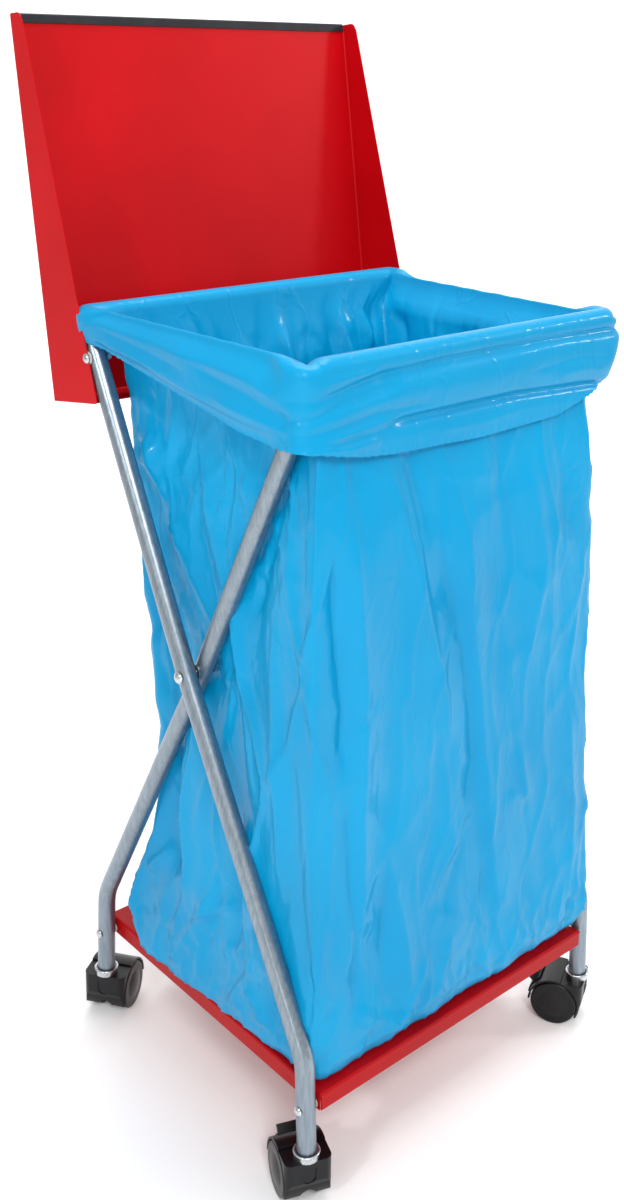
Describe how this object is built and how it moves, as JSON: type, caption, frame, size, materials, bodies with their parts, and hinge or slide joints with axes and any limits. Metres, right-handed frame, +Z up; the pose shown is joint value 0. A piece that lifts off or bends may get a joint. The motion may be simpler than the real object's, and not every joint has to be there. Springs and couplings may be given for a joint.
{
  "type": "bin bag holder",
  "caption": "Mobile stand of crossed bent-tube frames on twin-wheel castors that holds a film bin bag open, with a sheet base tray and a hinged red sheet lid.",
  "frame": {"origin": "on the floor, midway between the crossing screws of the two tube frames", "axes": "+Z up; +Y towards the back, where the lid is hinged; +X to the right of someone who faces the front"},
  "size_m": [0.4352, 0.4324, 1.0337],
  "materials": {
    "grey_paint": "grey powder coat, satin",
    "plate_red": "red powder coat, satin",
    "lid_red": "red powder coat, smooth",
    "black_trim": "black edge trim, matte",
    "zinc_steel": "zinc plated steel",
    "white_nylon": "white nylon",
    "castor_black": "black moulded plastic, satin",
    "wheel_black": "black moulded plastic, half gloss",
    "insert_grey": "grey moulded plastic",
    "blue_film": "thin blue polyethylene film"
  },
  "bodies": {
    "stand": {"outer_frame": "grey_paint", "inner_frame": "grey_paint", "base_plate": "plate_red", "lid_screw_left": "zinc_steel", "lid_screw_right": "zinc_steel", "lid_nut_left": "zinc_steel", "lid_nut_right": "zinc_steel", "lid_washer_left": "white_nylon", "lid_washer_right": "white_nylon", "crossing_screw_left": "zinc_steel", "crossing_screw_right": "zinc_steel", "crossing_nut_left": "zinc_steel", "crossing_nut_right": "zinc_steel", "crossing_washer_left": "white_nylon", "crossing_washer_right": "white_nylon", "plate_screw_front_left": "zinc_steel", "plate_screw_front_right": "zinc_steel", "plate_screw_rear_left": "zinc_steel", "plate_screw_rear_right": "zinc_steel", "plate_nut_front_left": "zinc_steel", "plate_nut_front_right": "zinc_steel", "plate_nut_rear_left": "zinc_steel", "plate_nut_rear_right": "zinc_steel", "plate_spacer_front_left": "white_nylon", "plate_spacer_front_right": "white_nylon", "plate_spacer_rear_left": "white_nylon", "plate_spacer_rear_right": "white_nylon", "castor_stem_fl": "zinc_steel", "castor_stem_fr": "zinc_steel", "castor_stem_rl": "zinc_steel", "castor_stem_rr": "zinc_steel", "leg_insert_fl": "insert_grey", "leg_insert_fr": "insert_grey", "leg_insert_rl": "insert_grey", "leg_insert_rr": "insert_grey", "cup_washer_fl": "zinc_steel", "cup_washer_fr": "zinc_steel", "cup_washer_rl": "zinc_steel", "cup_washer_rr": "zinc_steel", "bag": "blue_film"},
    "lid_body": {"lid": "lid_red", "lid_edge_trim": "black_trim"},
    "castor_fl": {"castor_hood_fl": "castor_black", "castor_axle_fl": "zinc_steel"},
    "wheel_fl_a": {"castor_wheel_fl_a": "wheel_black"},
    "wheel_fl_b": {"castor_wheel_fl_b": "wheel_black"},
    "castor_fr": {"castor_hood_fr": "castor_black", "castor_axle_fr": "zinc_steel"},
    "wheel_fr_a": {"castor_wheel_fr_a": "wheel_black"},
    "wheel_fr_b": {"castor_wheel_fr_b": "wheel_black"},
    "castor_rl": {"castor_hood_rl": "castor_black", "castor_axle_rl": "zinc_steel"},
    "wheel_rl_a": {"castor_wheel_rl_a": "wheel_black"},
    "wheel_rl_b": {"castor_wheel_rl_b": "wheel_black"},
    "castor_rr": {"castor_hood_rr": "castor_black", "castor_axle_rr": "zinc_steel"},
    "wheel_rr_a": {"castor_wheel_rr_a": "wheel_black"},
    "wheel_rr_b": {"castor_wheel_rr_b": "wheel_black"},
    "pedal_fl": {"brake_pedal_fl": "castor_black"},
    "pedal_fr": {"brake_pedal_fr": "castor_black"}
  },
  "joints": [
    {"name": "lid_hinge", "type": "hinge", "parent": "stand", "child": "lid_body", "pos_m": [0, 0.13153, 0.733], "axis": [1, 0, 0], "range_deg": [0, 102.2]},
    {"name": "swivel_fl", "type": "hinge", "parent": "stand", "child": "castor_fl", "pos_m": [-0.1955, -0.172, 0.05], "axis": [0, 0, 1], "continuous": true},
    {"name": "spin_fl_a", "type": "hinge", "parent": "castor_fl", "child": "wheel_fl_a", "pos_m": [-0.18768, -0.15359, 0.025], "axis": [0.9205, -0.3907, 0], "continuous": true},
    {"name": "spin_fl_b", "type": "hinge", "parent": "castor_fl", "child": "wheel_fl_b", "pos_m": [-0.18768, -0.15359, 0.025], "axis": [0.9205, -0.3907, 0], "continuous": true},
    {"name": "brake_fl", "type": "hinge", "parent": "castor_fl", "child": "pedal_fl", "pos_m": [-0.18065, -0.13702, 0.04499], "axis": [0.9205, -0.3907, 0], "range_deg": [-4, 0]},
    {"name": "swivel_fr", "type": "hinge", "parent": "stand", "child": "castor_fr", "pos_m": [0.1955, -0.172, 0.05], "axis": [0, 0, 1], "continuous": true},
    {"name": "spin_fr_a", "type": "hinge", "parent": "castor_fr", "child": "wheel_fr_a", "pos_m": [0.18642, -0.15418, 0.025], "axis": [0.891, 0.454, 0], "continuous": true},
    {"name": "spin_fr_b", "type": "hinge", "parent": "castor_fr", "child": "wheel_fr_b", "pos_m": [0.18642, -0.15418, 0.025], "axis": [0.891, 0.454, 0], "continuous": true},
    {"name": "brake_fr", "type": "hinge", "parent": "castor_fr", "child": "pedal_fr", "pos_m": [0.17825, -0.13814, 0.04499], "axis": [0.891, 0.454, 0], "range_deg": [-4, 0]},
    {"name": "swivel_rl", "type": "hinge", "parent": "stand", "child": "castor_rl", "pos_m": [-0.1765, 0.172, 0.05], "axis": [0, 0, 1], "continuous": true},
    {"name": "spin_rl_a", "type": "hinge", "parent": "castor_rl", "child": "wheel_rl_a", "pos_m": [-0.15954, 0.1826, 0.025], "axis": [0.5299, -0.848, 0], "continuous": true},
    {"name": "spin_rl_b", "type": "hinge", "parent": "castor_rl", "child": "wheel_rl_b", "pos_m": [-0.15954, 0.1826, 0.025], "axis": [0.5299, -0.848, 0], "continuous": true},
    {"name": "swivel_rr", "type": "hinge", "parent": "stand", "child": "castor_rr", "pos_m": [0.1765, 0.172, 0.05], "axis": [0, 0, 1], "continuous": true},
    {"name": "spin_rr_a", "type": "hinge", "parent": "castor_rr", "child": "wheel_rr_a", "pos_m": [0.18463, 0.19027, 0.025], "axis": [0.9135, -0.4067, 0], "continuous": true},
    {"name": "spin_rr_b", "type": "hinge", "parent": "castor_rr", "child": "wheel_rr_b", "pos_m": [0.18463, 0.19027, 0.025], "axis": [0.9135, -0.4067, 0], "continuous": true}
  ]
}
